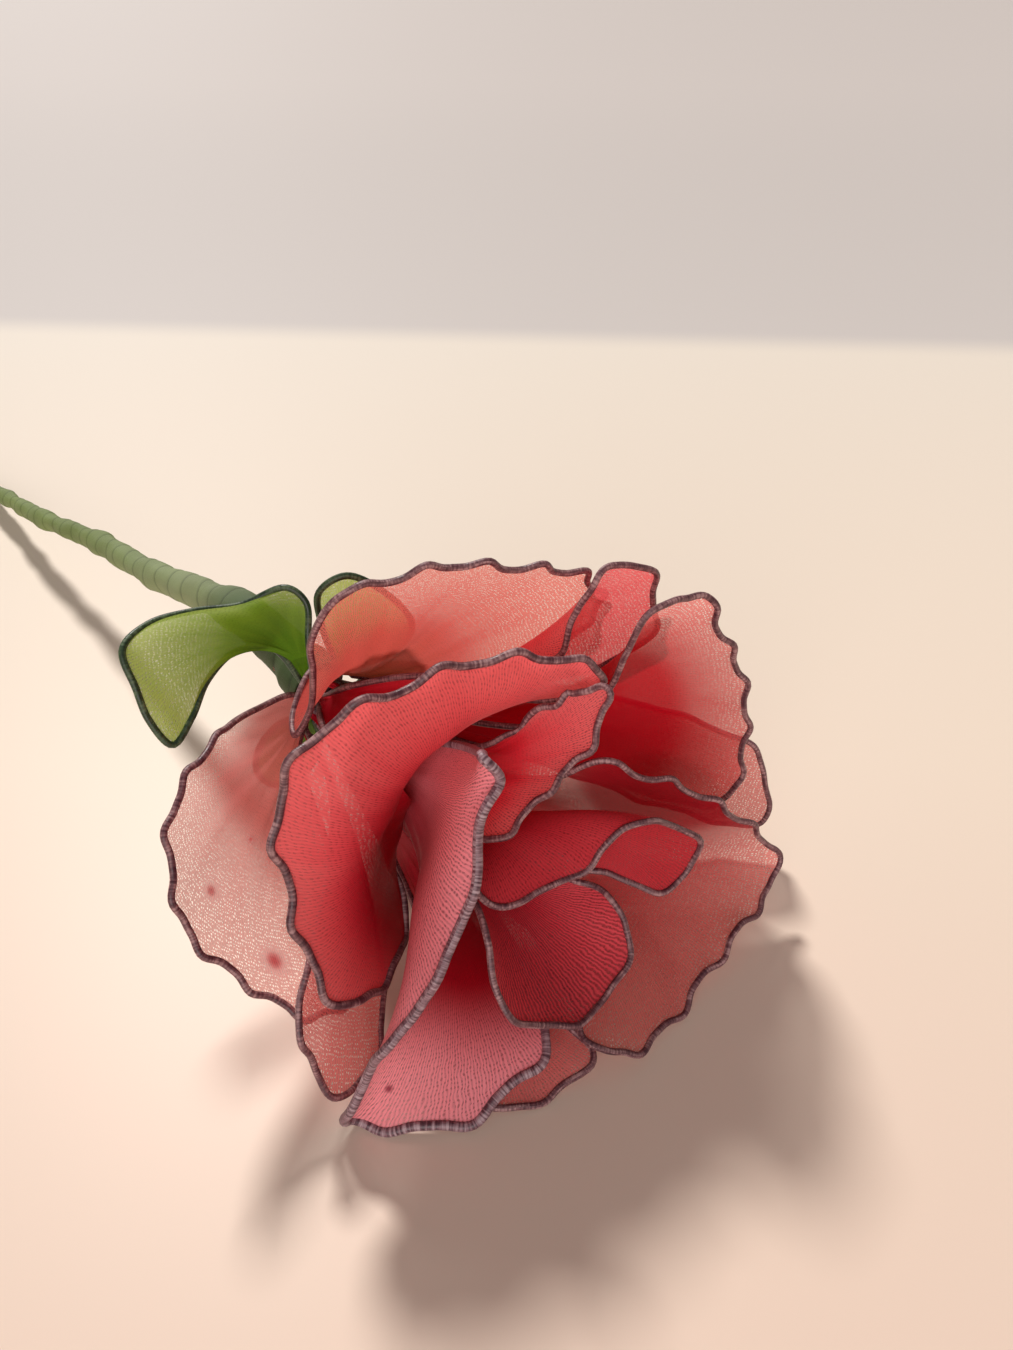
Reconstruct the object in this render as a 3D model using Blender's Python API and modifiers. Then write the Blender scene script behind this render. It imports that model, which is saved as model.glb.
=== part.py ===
# A rose of sheer knitted nylon, lying on its side on a table.
# Each petal is a wavy loop of wire with nylon stretched over it. The tails of the loops run down
# round the stem's core, where a thread binds them and green tape covers them.
# Sizes are in millimetres here, and the objects are made in metres.
# The head is laid out from the neck: x to the right as one faces the flower, forward out of its face, z up.

import math

import bpy
import numpy as np

MM = 0.001

# Driving dimensions
WIRE_DIAMETER = 0.75
SHEET_THICKNESS = 0.3
CLEARANCE = 0.2
HEM = 0.4
CORE_DIAMETER = 1.8
THREAD_DIAMETER = 0.5
THREAD_TURNS = 3
THREAD_PITCH = 0.85
TAPE_WALL = 0.35
STEM_LENGTH = 275.0
CORE_STICKS_OUT = 1.0
TAIL_LENGTH = 20.0
INNER_SLOTS = 8
OUTER_SLOTS = 14
INNER_BASE_SPREAD = 2.025
OUTER_BASE_SPREAD = 2.875
SEPAL_BASE_SPREAD = 1.725
LEG_GAP = 0.55
HEAD_DROOP = math.radians(12)
BASE_DISTANCE = 8.0
SEPAL_DISTANCE = 5.2
MOUTH_DISTANCE = 2.6
SHEET_STARTS_WIDE = 3.6

# How finely the wires and the tape are drawn
POINTS_PER_WAVE = 4
LEG_STEP = 8.5
SEPAL_STEP = 5.0
TAPE_SIDES = 10
THREAD_POINTS_PER_TURN = 10
FINE = 600
FILM_SAMPLES = 256

# Each petal: where its wire is bound, the wave along its rim as a count, a height and the share of
# the loop where it starts and ends, how far the middle of its nylon is pushed, and the points that
# its loop of wire passes through, all as (x, forward, z). A roll is a push of the nylon beside one
# stretch of the wire: the share of the loop where it is, how wide it is, then x, forward and z.
PETALS = {
    "petal_01": {
        "ring": "outer", "slot": 7, "wave": (10, 0.9, 0.17, 0.80), "belly": (-2, -3, 0),
        "starts_wide": 5.0,
        "rim": [(-6, 8, 3), (-13, 11, 6), (-20, 16, 9), (-26, 20, 9), (-31, 23.5, 6.5),
                (-33.5, 27.5, 1.5), (-34, 30, -3.5), (-32, 33, -8), (-29.5, 36, -12), (-26, 39, -16),
                (-20, 37, -20), (-13, 27, -17), (-8.3, 11, -4)]},
    "petal_02": {
        "ring": "outer", "slot": 3, "wave": (7, 1.4, 0.34, 0.74), "belly": (0, -4, 0),
        "rim": [(-4, 10, 7.5), (-9.5, 13.5, 5), (-11.5, 17, 4.5), (-10.5, 20, 9.5),
                (-11, 23, 17), (-12, 25.5, 23), (-9.5, 28, 28.5), (-3, 29.5, 29), (3, 31, 29),
                (10, 33, 27), (16, 34, 25), (22, 34, 21.5), (27, 31, 13), (21, 22, 2.5),
                (9, 12, 0.5)]},
    "petal_03": {
        "ring": "inner", "slot": 1, "wave": (5, 1.0, 0.25, 0.75), "belly": (0, -2, 0),
        "rim": [(7, 19, 4.5), (15.5, 35, 13), (17, 37, 19.5), (20, 38.5, 25.5), (25, 39.5, 24.5),
                (29.5, 38.5, 19), (31, 36, 9), (19, 25, 2)]},
    "petal_04": {
        "ring": "inner", "slot": 3, "wave": (11, 1.4, 0.26, 0.87), "belly": (0, 0, -2),
        "roll": (0.88, 0.05, 3.5, 0, -2),
        "rim": [(-1, 14.5, 5.8), (5, 23, 9), (12, 36.5, 9.3), (16, 43, 13.5), (13, 42.5, 17.5), (5, 40, 20.5),
                (-2, 38, 21.5), (-9, 37, 21), (-15, 36, 20.5), (-20, 35, 17.5), (-23.5, 35.5, 13.5),
                (-25, 36.5, 7.5), (-25.5, 39, 1), (-26, 42, -5), (-23.5, 45, -10.5),
                (-18, 43, -12.5), (-13, 39.5, -14.2), (-9.5, 35.5, -13), (-8, 30.5, -9), (-7, 24, -5),
                (-5.8, 14, 1)]},
    "petal_05": {
        "ring": "inner", "slot": 0, "wave": (8, 0.9, 0.34, 0.74), "belly": (3, -4, 0),
        "rim": [(6, 20, 1), (14, 36, 4), (18, 41.5, 10), (18.5, 44, 17), (19.5, 46, 23),
                (25, 46.5, 23), (28.5, 47, 22.5), (30.5, 47.5, 18), (34, 48, 12.5),
                (37, 48.5, 6.5), (38.5, 49, 0), (39, 49, -6), (38, 49, -13), (36, 46, -16),
                (23, 32, -11), (9, 18, -5)]},
    "petal_06": {
        "ring": "inner", "slot": 2, "wave": (8, 1.0, 0.28, 0.78), "belly": (0.5, -0.5, -1),
        "starts_wide": 6.0,
        "rim": [(1, 22, 1), (3.5, 35.5, 6), (6.5, 38.5, 9), (8.5, 41, 12.5), (11, 44, 15.5),
                (12, 47, 16), (10, 48, 12), (6.5, 47.5, 8.5), (3, 47, 6.5), (0, 46.5, 4),
                (-4.3, 45, 2), (-3.4, 36, 1.9), (-1.2, 22, 0.4)]},
    "petal_07": {
        "ring": "inner", "slot": 7, "wave": (12, 1.1, 0.22, 0.82), "belly": (4, -3, -3),
        "rim": [(5, 24, -4), (9.5, 41, 1), (13, 46, 5), (17, 49, 2.5), (23, 51, -1.5),
                (29, 54, -7), (34, 55.5, -12.5), (38, 57.5, -18.5), (36, 59, -22),
                (31, 60, -22.5), (25, 61, -23), (19, 61.5, -25), (12, 62.5, -26.5), (5, 63, -25.5),
                (-0.5, 61.5, -22.5), (2, 50, -19.5), (3.5, 28, -12)]},
    "petal_08": {
        "ring": "inner", "slot": 5, "wave": (7, 0.7, 0.30, 0.80), "belly": (0, -2, 4),
        "rim": [(-2, 24, -5), (-5, 36, -3.5), (-7.5, 45, -1), (-5.5, 48, -5), (0, 50, -5), (5.5, 51, -4.5),
                (8, 52, -2), (11, 53, 0.5), (14.5, 54, 0), (21, 56, -6.5), (19.5, 56, -11),
                (16, 55, -12), (11, 50, -9.5), (5.5, 40, -7), (2, 26, -5)]},
    "petal_09": {
        "ring": "inner", "slot": 6, "wave": (6, 0.8, 0.30, 0.78), "belly": (0, -2, -2),
        "rim": [(-2, 30, -9), (-7.5, 47.5, -4.5), (-9, 51, -6), (-10.5, 54, -10), (-9, 56.5, -14.5),
                (-4, 58, -18), (2, 58.5, -19.5), (6.5, 57.5, -18), (9.5, 56, -15.5),
                (10, 53.5, -12), (8, 46, -11), (4, 34, -11), (1, 20, -7)]},
    "petal_10": {
        "ring": "inner", "slot": 4, "wave": (10, 0.9, 0.25, 0.82), "belly": (-1, -1, 0),
        "roll": (0.35, 0.12, -2, 0, 0),
        "rim": [(-2.5, 15, 1), (-0.5, 25, 3), (0.4, 34.5, 7.2), (-2.8, 43, 12.8), (-5.6, 46.5, 16), (-4.5, 48, 13.5),
                (-7.5, 48.5, 10.5), (-9.5, 50, 5), (-12, 51, 1), (-16, 51.5, -4), (-20, 51.5, -9),
                (-23.5, 50, -13), (-26, 49, -19), (-28, 47.5, -25), (-26.5, 47, -27),
                (-22, 52, -27), (-16.5, 56, -26.5), (-11, 57, -24.5), (-5.5, 57, -22),
                (0, 48, -21), (0.8, 30, -14.8), (-3.4, 17, -6.3)]},
    "petal_11": {
        "ring": "outer", "slot": 8, "wave": (5, 1.0, 0.30, 0.72), "belly": (0, 0, 0),
        "rim": [(-9, 20, -5), (-24, 38, -8), (-28, 41, -11), (-28.5, 43, -17), (-28, 44, -21.5),
                (-25, 45, -25), (-17, 40, -24.5), (-8, 23, -14)]},
    "petal_12": {
        "ring": "outer", "slot": 10, "wave": (6, 0.9, 0.30, 0.75), "belly": (0, 0, 0),
        "rim": [(-5, 30, -18), (-14.5, 54.5, -26.3), (-12, 57.8, -27), (-6.5, 59.5, -27),
                (-1.2, 60.8, -25.4), (0, 57, -24.6), (-0.5, 44, -24), (0, 26, -16)]},
    "petal_13": {
        "ring": "outer", "slot": 13, "wave": (6, 0.8, 0.30, 0.80), "belly": (0, 0, 0),
        "rim": [(23, 20, -2), (42, 44, -7), (46, 48, -12), (46.5, 49.5, -18), (45.5, 50, -23),
                (38, 41, -22), (19, 20, -12)]},
}

# The green sepals are made the same way, with a plain rim.
SEPALS = {
    "sepal_1": {
        "ring": "sepal", "slot": 5, "wave": (0, 0, 0, 1), "belly": (0, 0, 2),
        "rim": [(-2, 6, 9), (-0.5, 4, 13.5), (-2, 2, 15.5), (-7, -2, 13), (-13, -4, 13.5),
                (-19, -4, 14), (-23.5, -2, 13), (-24, 1, 9), (-24, 3, 5), (-22.5, 5, 1.5),
                (-19, 4, 3.5), (-15, 1.8, 6.5), (-10, 0.8, 8.3), (-5.5, 2.2, 7.5)]},
    "sepal_2": {
        "ring": "sepal", "slot": 2, "wave": (0, 0, 0, 1), "belly": (0, 0, 0),
        "rim": [(0, 6.5, 11), (-0.5, 8, 17), (2.5, 10, 19), (7, 12, 15.5), (11.5, 11, 8),
                (10, 8, 3)]},
    "sepal_3": {
        "ring": "sepal", "slot": 9, "wave": (0, 0, 0, 1), "belly": (0, 0, 0),
        "rim": [(-7, 4.5, -3), (-10, 3, -6.5), (-11, 2.5, -11), (-8.5, 2.5, -15), (-4, 3, -15),
                (-1.5, 4.5, -9.5)]},
    "sepal_4": {
        "ring": "sepal", "slot": 12, "wave": (0, 0, 0, 1), "belly": (0, 0, 0),
        "rim": [(9, 5, -1), (15, 6, -2.5), (20.5, 7, -7.5), (21, 7.5, -14), (15.5, 7, -17),
                (8.5, 6, -15), (4.5, 5.5, -10)]},
}

# The stem's centre line from the neck backwards, as (x, back, z), and the tape's outer radius along it.
STEM_LINE = [(0, -8, -1.7), (0, 0, 0), (0, 8, 1.5), (0, 15, 2), (0.3, 24, 0.4), (-0.5, 50, -4.9),
             (0.6, 80, -10.6), (-0.4, 110, -16.3), (0.2, 140, -21.8), (0, 158, -24.8),
             (0, 175, -25.9), (0, 220, -25.9), (0, 275, -25.9)]

materials = {}


def material(name, colour, roughness, metallic=0.0):
    """One Principled finish, made once for all the pieces that share it."""
    if name not in materials:
        finish = bpy.data.materials.new(name)
        finish.use_nodes = True
        shader = finish.node_tree.nodes["Principled BSDF"]
        shader.inputs["Base Color"].default_value = (*colour, 1)
        shader.inputs["Roughness"].default_value = roughness
        shader.inputs["Metallic"].default_value = metallic
        materials[name] = finish
    return materials[name]


def unit(vectors):
    """Each vector divided by its length."""
    lengths = np.linalg.norm(vectors, axis=-1, keepdims=True)
    return vectors / np.maximum(lengths, 1e-9)


def through(points, places):
    """A smooth curve through the points, read at places from 0 to 1.

    Each stretch between two points is a cubic with the slopes of their neighbours, and the points
    are spaced by the square root of their distance, which keeps tight corners free of loops."""
    points = np.asarray(points, float)
    knots = np.concatenate([[0], np.cumsum(np.linalg.norm(np.diff(points, axis=0), axis=1) ** 0.5)])
    slopes = np.gradient(points, knots, axis=0)
    at = np.asarray(places) * knots[-1]
    i = np.clip(np.searchsorted(knots, at, side="right") - 1, 0, len(points) - 2)
    span = (knots[i + 1] - knots[i])[:, None]
    x = (at - knots[i])[:, None] / span
    return ((2 * x**3 - 3 * x**2 + 1) * points[i] + (x**3 - 2 * x**2 + x) * span * slopes[i]
            + (3 * x**2 - 2 * x**3) * points[i + 1] + (x**3 - x**2) * span * slopes[i + 1])


def run_of(line):
    """The distance along a line of points, from its first point."""
    return np.concatenate([[0], np.cumsum(np.linalg.norm(np.diff(line, axis=0), axis=1))])


def at_run(line, places):
    """The points of a line at the given distances along it."""
    run = run_of(line)
    return np.stack([np.interp(places, run, line[:, k]) for k in range(3)], axis=1)


# The neck's bundle: the core in the middle, two rings of wire tails round it, then the tape.
wire_radius = WIRE_DIAMETER / 2
inner_ring = CORE_DIAMETER / 2 + CLEARANCE + wire_radius
outer_ring = inner_ring + WIRE_DIAMETER + CLEARANCE
bundle_radius = outer_ring + wire_radius + CLEARANCE
RINGS = {
    "inner": {"slots": INNER_SLOTS, "radius": inner_ring, "spread": INNER_BASE_SPREAD,
              "distance": BASE_DISTANCE},
    "outer": {"slots": OUTER_SLOTS, "radius": outer_ring, "spread": OUTER_BASE_SPREAD,
              "distance": BASE_DISTANCE},
    "sepal": {"slots": OUTER_SLOTS, "radius": outer_ring, "spread": SEPAL_BASE_SPREAD,
              "distance": SEPAL_DISTANCE},
}

# Where the tails and the core have their points, counted back from the neck, which the tape's bore shares
bound_run = np.linspace(TAIL_LENGTH, -MOUTH_DISTANCE, 6)
core_run = np.arange(TAIL_LENGTH + 8, STEM_LENGTH * 0.66, 13)

side = np.array([1.0, 0.0, 0.0])
head_axis = np.array([0.0, -math.cos(HEAD_DROOP), -math.sin(HEAD_DROOP)])
head_up = np.array([0.0, -math.sin(HEAD_DROOP), math.cos(HEAD_DROOP)])

stem_points = np.array(STEM_LINE, float)
stem_points[-1, 1] = STEM_LENGTH
stem_line = through(stem_points, np.linspace(0, 1, FINE))
neck_run = np.interp(0, stem_line[:, 1], run_of(stem_line))


def beside_stem(distance, radius, angle):
    """A point at a distance behind the neck, along the stem, and a radius and angle round it."""
    centre = at_run(stem_line, [neck_run + distance])[0]
    ahead, behind = at_run(stem_line, [neck_run + distance + 0.5, neck_run + distance - 0.5])
    along = unit(ahead - behind)
    across = unit(side - side.dot(along) * along)
    up = np.cross(across, along)
    return centre + radius * (math.cos(angle) * across + math.sin(angle) * up)


def base_points(piece):
    """The two points where a loop of wire leaves the throat, side by side."""
    ring = RINGS[piece["ring"]]
    radius = ring["radius"] + ring["spread"]
    angle = 2 * math.pi * piece["slot"] / ring["slots"]
    half_step = (WIRE_DIAMETER + LEG_GAP) / radius / 2
    turns = (angle + half_step, angle - half_step)
    return [head_axis * ring["distance"] + radius * (math.cos(a) * side + math.sin(a) * head_up)
            for a in turns]


def outward(line):
    """The direction at each point of a loop that leads away from its middle, square to the wire."""
    tangent = unit(np.gradient(line, axis=0))
    away = line - line.mean(axis=0)
    return unit(away - (away * tangent).sum(axis=1)[:, None] * tangent)


def rim_loop(piece):
    """The fine line of one loop of wire, from base point to base point, with its waves."""
    points = np.array([(x, -forward, z) for x, forward, z in piece["rim"]], float)
    first, last = base_points(piece)
    straight = np.linalg.norm(points[0] - first) + np.linalg.norm(points[-1] - last)
    crossed = np.linalg.norm(points[0] - last) + np.linalg.norm(points[-1] - first)
    if crossed < straight:
        first, last = last, first
    line = through(np.vstack([first, points, last]), np.linspace(0, 1, FINE))
    line = at_run(line, np.linspace(0, run_of(line)[-1], FINE))
    count, height, start, end = piece["wave"]
    if count:
        share = np.linspace(0, 1, FINE)
        phase = (share - start) / (end - start) * count
        fade = np.clip(np.minimum(phase, count - phase), 0, 1)
        lobe = 0.5 - np.cos(2 * math.pi * phase) / 2 + 0.12 * np.cos(4 * math.pi * phase)
        line = line + outward(line) * (height * (lobe - 0.5) * fade)[:, None]
    return line


def opening(piece, line):
    """The share of a loop at which its two legs are far enough apart for the nylon to start."""
    gap = np.linalg.norm(line - line[::-1], axis=1)
    return np.argmax(gap > piece.get("starts_wide", SHEET_STARTS_WIDE)) / (FINE - 1)


def stations(piece, line):
    """The shares of a loop where its wire and its nylon get points, more of them on the waves."""
    length = run_of(line)[-1]
    opens = opening(piece, line)
    count, _, start, end = piece["wave"]
    if not count:
        steps = round(length * (1 - 2 * opens) / SEPAL_STEP)
        held = np.linspace(opens, 1 - opens, steps + 1)
    else:
        first_leg = np.linspace(opens, start, max(2, round(length * (start - opens) / LEG_STEP)),
                                endpoint=False)
        waves = np.linspace(start, end, count * POINTS_PER_WAVE, endpoint=False)
        last_leg = np.linspace(end, 1 - opens, max(3, round(length * (1 - opens - end) / LEG_STEP)))
        held = np.concatenate([first_leg, waves, last_leg])
    bare = np.linspace(0, opens, max(2, round(length * opens / LEG_STEP)), endpoint=False)
    return np.concatenate([bare, held, 1 - bare[::-1]])


def wire(name, points, radius, finish):
    """A wire as a plain bevelled curve through its points."""
    curve = bpy.data.curves.new(name, "CURVE")
    curve.dimensions = "3D"
    curve.bevel_depth = radius * MM
    curve.bevel_resolution = 0
    curve.use_fill_caps = True
    spline = curve.splines.new("POLY")
    spline.points.add(len(points) - 1)
    spline.points.foreach_set("co", np.hstack([points * MM, np.ones((len(points), 1))]).ravel())
    curve.materials.append(finish)
    return add(bpy.data.objects.new(name, curve))


def mesh_object(name, points, faces, finish):
    """A mesh made from points in millimetres."""
    mesh = bpy.data.meshes.new(name)
    mesh.from_pydata((points * MM).tolist(), [], faces)
    mesh.materials.append(finish)
    mesh.update()
    return add(bpy.data.objects.new(name, mesh))


def add(piece):
    """Puts a piece into the rose's collection, under its empty."""
    rose.objects.link(piece)
    piece.parent = head
    return piece


def petal_wire(name, piece, line, shares, finish):
    """The loop, and the tail that runs on from one end of it down beside the core."""
    ring = RINGS[piece["ring"]]
    angle = 2 * math.pi * piece["slot"] / ring["slots"]
    tail = [beside_stem(d, ring["radius"], angle) for d in bound_run]
    loop = at_run(line, shares * run_of(line)[-1])
    return wire(name, np.vstack([tail, loop]), wire_radius, finish)


def film(piece, line, opens, reach, shares):
    """Points of the film that a loop of wire holds, at a reach from 0 in its middle to 1 on the wire.

    The film is a soap film over a disc: the rim is split into its harmonics, and harmonic k fades
    inwards as reach to the power k. The belly is how far the middle is pushed off that film, and the
    roll is a push that is full half way out, near one share of the loop."""
    run = run_of(line)[-1]
    held = at_run(line, np.linspace(opens, 1 - opens, FINE) * run)
    closed = np.vstack([held, held[:1]])
    length = run_of(closed)[-1]
    rim = at_run(closed, np.arange(FILM_SAMPLES) / FILM_SAMPLES * length)
    harmonics = np.fft.fft(rim, axis=0) / FILM_SAMPLES
    order = np.fft.fftfreq(FILM_SAMPLES, 1 / FILM_SAMPLES)
    turn = np.exp(2j * math.pi * np.outer((np.asarray(shares) - opens) * run / length, order))
    towards_base = reach * turn[:, 1:2].real
    x, forward, z = piece["belly"]
    push = (1 - reach**2) * (1 - towards_base) * np.array([x, -forward, z], float)
    at, wide, x, forward, z = piece.get("roll", (0.5, 1, 0, 0, 0))
    near = np.exp(-((np.asarray(shares) - at) / wide) ** 2)[:, None]
    push = push + 4 * reach * (1 - reach) * near * np.array([x, -forward, z], float)
    return ((turn * reach ** np.abs(order)) @ harmonics).real + push


def sheet(name, piece, line, shares, finish):
    """The nylon: the film of its loop, ending just inside the wire.

    Its rings of points each have half as many points as the ring outside them."""
    run = run_of(line)[-1]
    opens = opening(piece, line)
    inside = shares[(shares > opens - 1e-6) & (shares < 1 - opens + 1e-6)]
    edge = at_run(line, inside * run)
    tangent = unit(at_run(line, np.minimum(inside * run + 0.6, run))
                   - at_run(line, np.maximum(inside * run - 0.6, 0)))
    inward = film(piece, line, opens, 0.93, inside) - edge
    inward = unit(inward - (inward * tangent).sum(axis=1)[:, None] * tangent)
    edge = edge + inward * (wire_radius + HEM + SHEET_THICKNESS / 2)
    points = [edge]
    rings = [(list(range(len(edge))), 0)]
    for reach, every in ((0.74, 2), (0.4, 4)):
        keep = sorted(set(range(0, len(edge), every)) | {len(edge) - 1})
        rings.append((keep, sum(len(p) for p in points)))
        points.append(film(piece, line, opens, reach, inside[keep]))
    points.append(film(piece, line, opens, 0, inside[:1]))
    middle_at = sum(len(p) for p in points) - 1
    faces = []
    for (outer, outer_at), (inner, inner_at) in zip(rings, rings[1:]):
        for j in range(len(inner) - 1):
            low, high = outer.index(inner[j]), outer.index(inner[j + 1])
            middle = (low + high + 1) // 2
            faces += [(inner_at + j, outer_at + k, outer_at + k + 1) for k in range(low, middle)]
            faces.append((inner_at + j, outer_at + middle, inner_at + j + 1))
            faces += [(inner_at + j + 1, outer_at + k, outer_at + k + 1) for k in range(middle, high)]
        faces.append((outer_at, inner_at, inner_at + len(inner) - 1))
        faces.append((outer_at, inner_at + len(inner) - 1, outer_at + len(outer) - 1))
    last, last_at = rings[-1]
    around = list(range(len(last))) + [0]
    faces += [(middle_at, last_at + j, last_at + k) for j, k in zip(around, around[1:])]
    nylon = mesh_object(name, np.vstack(points), faces, finish)
    solid = nylon.modifiers.new("thickness", "SOLIDIFY")
    solid.thickness = SHEET_THICKNESS * MM
    solid.offset = 0
    nylon.data.shade_smooth()
    return nylon


def loft(name, outer, inner, finish):
    """A closed tube between an outer and an inner row of rings, each ring TAPE_SIDES points."""
    points = np.concatenate([outer.reshape(-1, 3), inner.reshape(-1, 3)])
    faces = []

    def strip(a, b):
        for k in range(TAPE_SIDES):
            n = (k + 1) % TAPE_SIDES
            faces.append((a + k, b + k, b + n, a + n))

    start = len(outer) * TAPE_SIDES
    for i in range(len(outer) - 1):
        strip(i * TAPE_SIDES, (i + 1) * TAPE_SIDES)
    for i in range(len(inner) - 1):
        strip(start + (i + 1) * TAPE_SIDES, start + i * TAPE_SIDES)
    strip(start, 0)
    strip((len(outer) - 1) * TAPE_SIDES, start + (len(inner) - 1) * TAPE_SIDES)
    return mesh_object(name, points, faces, finish)


def stem_core(finish):
    """The stiff wire up the middle of the stem, bare at its cut end."""
    points = [beside_stem(d, 0, 0) for d in np.concatenate([bound_run[::-1], core_run])]
    end = stem_line[-1] + np.array([0, CORE_STICKS_OUT, 0])
    core = wire("stem_core", np.array(points + [end]), CORE_DIAMETER / 2, finish)
    core.data.bevel_resolution = 2
    return core


def tape_rings(profile):
    """Rings of points round the stem, for a list of distances and radii."""
    angles = 2 * math.pi * np.arange(TAPE_SIDES) / TAPE_SIDES
    return np.array([[beside_stem(d, r, a) for a in angles] for d, r in profile])


def stem_tape(finish):
    """The wound tape: a bulge over the binding, an even neck over the tails, then a lumpy taper."""
    corner = 1 / math.cos(math.pi / TAPE_SIDES)
    thread_outside = bundle_radius + THREAD_DIAMETER + CLEARANCE
    thread_end = -MOUTH_DISTANCE + THREAD_TURNS * THREAD_PITCH + CLEARANCE + THREAD_DIAMETER
    bore = [(-3.6, thread_outside), (thread_end, thread_outside), (thread_end + 0.8, bundle_radius)]
    bore += [(d, bundle_radius) for d in bound_run[::-1] if d > thread_end + 0.8]
    bore.append((TAIL_LENGTH + 0.8, bundle_radius))
    thin = CORE_DIAMETER / 2 + CLEARANCE
    bore += [(d, thin) for d in np.append(core_run, stem_length_run)]
    tape = 0.8
    skin = [(-3.6, thread_outside + TAPE_WALL), (thread_end, thread_outside + TAPE_WALL),
            (thread_end + 2.2, bundle_radius + TAPE_WALL)]
    for d in np.arange(thread_end + 7, TAIL_LENGTH + 3, 5.5):
        skin.append((d, bundle_radius + TAPE_WALL))
    distances = np.append(np.arange(TAIL_LENGTH + 8, stem_length_run - 6, 8), stem_length_run)
    taper = np.interp(distances, (TAIL_LENGTH + 8, TAIL_LENGTH + 25, 110), (0.75, 0.55, -0.05))
    lumps = 0.14 * np.sin(distances * 0.41) + 0.1 * np.sin(distances * 0.17 + 1)
    lumps *= np.interp(distances, (TAIL_LENGTH, 60, 140, 170), (0.5, 1, 1, 0))
    skin += [(d, thin + tape + t + b) for d, t, b in zip(distances, taper, lumps)]
    bore = [(d, r * corner) for d, r in bore]
    skin = [(d, r * corner) for d, r in skin]
    return loft("stem_tape", tape_rings(skin), tape_rings(bore), finish)


def binding_thread(finish):
    """The thread wound round the tails of the loops, just behind where they spread."""
    turns = np.linspace(0, THREAD_TURNS, THREAD_TURNS * THREAD_POINTS_PER_TURN + 1)
    radius = bundle_radius + THREAD_DIAMETER / 2 + 0.1
    points = [beside_stem(-MOUTH_DISTANCE + t * THREAD_PITCH, radius, 2 * math.pi * t) for t in turns]
    return wire("binding_thread", np.array(points), THREAD_DIAMETER / 2, finish)


def stand_on_origin():
    """Moves the whole rose so that the bottom of its box is centred on the origin."""
    bpy.context.view_layer.update()
    graph = bpy.context.evaluated_depsgraph_get()
    corners = []
    for piece in rose.objects:
        if piece.type != "EMPTY":
            mesh = piece.evaluated_get(graph).to_mesh()
            spots = np.empty(len(mesh.vertices) * 3)
            mesh.vertices.foreach_get("co", spots)
            corners.append(spots.reshape(-1, 3))
    spots = np.vstack(corners)
    low, high = spots.min(axis=0), spots.max(axis=0)
    head.location = (-(low[0] + high[0]) / 2, -(low[1] + high[1]) / 2, -low[2])
    bpy.context.view_layer.update()


for old in list(bpy.data.objects):
    bpy.data.objects.remove(old)

rose = bpy.data.collections.new("nylon_rose")
bpy.context.scene.collection.children.link(rose)
head = bpy.data.objects.new("neck_point", None)
rose.objects.link(head)

stem_length_run = run_of(stem_line)[-1] - neck_run
petal_steel = material("petal_wire", (0.20, 0.10, 0.11), 0.5)
petal_nylon = material("petal_nylon", (0.62, 0.07, 0.10), 0.55)
sepal_steel = material("sepal_wire", (0.03, 0.10, 0.03), 0.5)
sepal_nylon = material("sepal_nylon", (0.20, 0.38, 0.05), 0.55)

for pieces, wire_finish, nylon_finish in ((PETALS, petal_steel, petal_nylon),
                                          (SEPALS, sepal_steel, sepal_nylon)):
    for name, piece in pieces.items():
        line = rim_loop(piece)
        shares = stations(piece, line)
        petal_wire(name + "_wire", piece, line, shares, wire_finish)
        sheet(name + "_nylon", piece, line, shares, nylon_finish)

stem_core(material("core_wire", (0.45, 0.45, 0.44), 0.4, 1.0))
stem_tape(material("stem_tape", (0.13, 0.24, 0.09), 0.75))
binding_thread(material("thread", (0.75, 0.72, 0.68), 0.8))
stand_on_origin()
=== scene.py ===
import math

import bpy
import numpy as np
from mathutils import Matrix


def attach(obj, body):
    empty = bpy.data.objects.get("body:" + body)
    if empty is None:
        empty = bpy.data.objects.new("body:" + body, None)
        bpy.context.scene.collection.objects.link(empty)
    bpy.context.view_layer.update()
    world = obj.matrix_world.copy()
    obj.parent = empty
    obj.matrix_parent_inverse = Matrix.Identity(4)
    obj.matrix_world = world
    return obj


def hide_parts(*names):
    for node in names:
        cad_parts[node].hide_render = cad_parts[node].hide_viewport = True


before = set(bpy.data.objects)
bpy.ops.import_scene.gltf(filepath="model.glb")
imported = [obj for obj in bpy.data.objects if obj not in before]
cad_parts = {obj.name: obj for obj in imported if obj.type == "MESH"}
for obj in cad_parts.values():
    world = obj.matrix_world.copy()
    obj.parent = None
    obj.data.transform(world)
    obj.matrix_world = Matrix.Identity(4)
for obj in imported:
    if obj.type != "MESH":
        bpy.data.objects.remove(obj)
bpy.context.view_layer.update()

# The neck: where the stem stops and the flower starts. Every point below is given in millimetres
# from it, as (x to the right as one faces the flower, forward out of the flower, z up), and NECK is
# where it lies in the frame, with y backwards along the stem.
MM = 0.001
NECK = np.array([-6.207, -106.103, 27.928])

# The stem's core: one stiff iron wire up the middle of the stem. The petals are tied on at its
# upper end, and at the lower end it comes a millimetre out of the tape, cut off square.
STEM_LINE = [(0, -8, -1.7), (0, 0, 0), (0, 8, 1.5), (0, 15, 2), (0.3, 24, 0.4), (-0.5, 50, -4.9),
             (0.6, 80, -10.6), (-0.4, 110, -16.3), (0.2, 140, -21.8), (0, 158, -24.8),
             (0, 175, -25.9), (0, 220, -25.9), (0, 275, -25.9)]
FINE = 600


def unit(vectors):
    """Each vector divided by its length."""
    return vectors / np.maximum(np.linalg.norm(vectors, axis=-1, keepdims=True), 1e-9)


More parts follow.
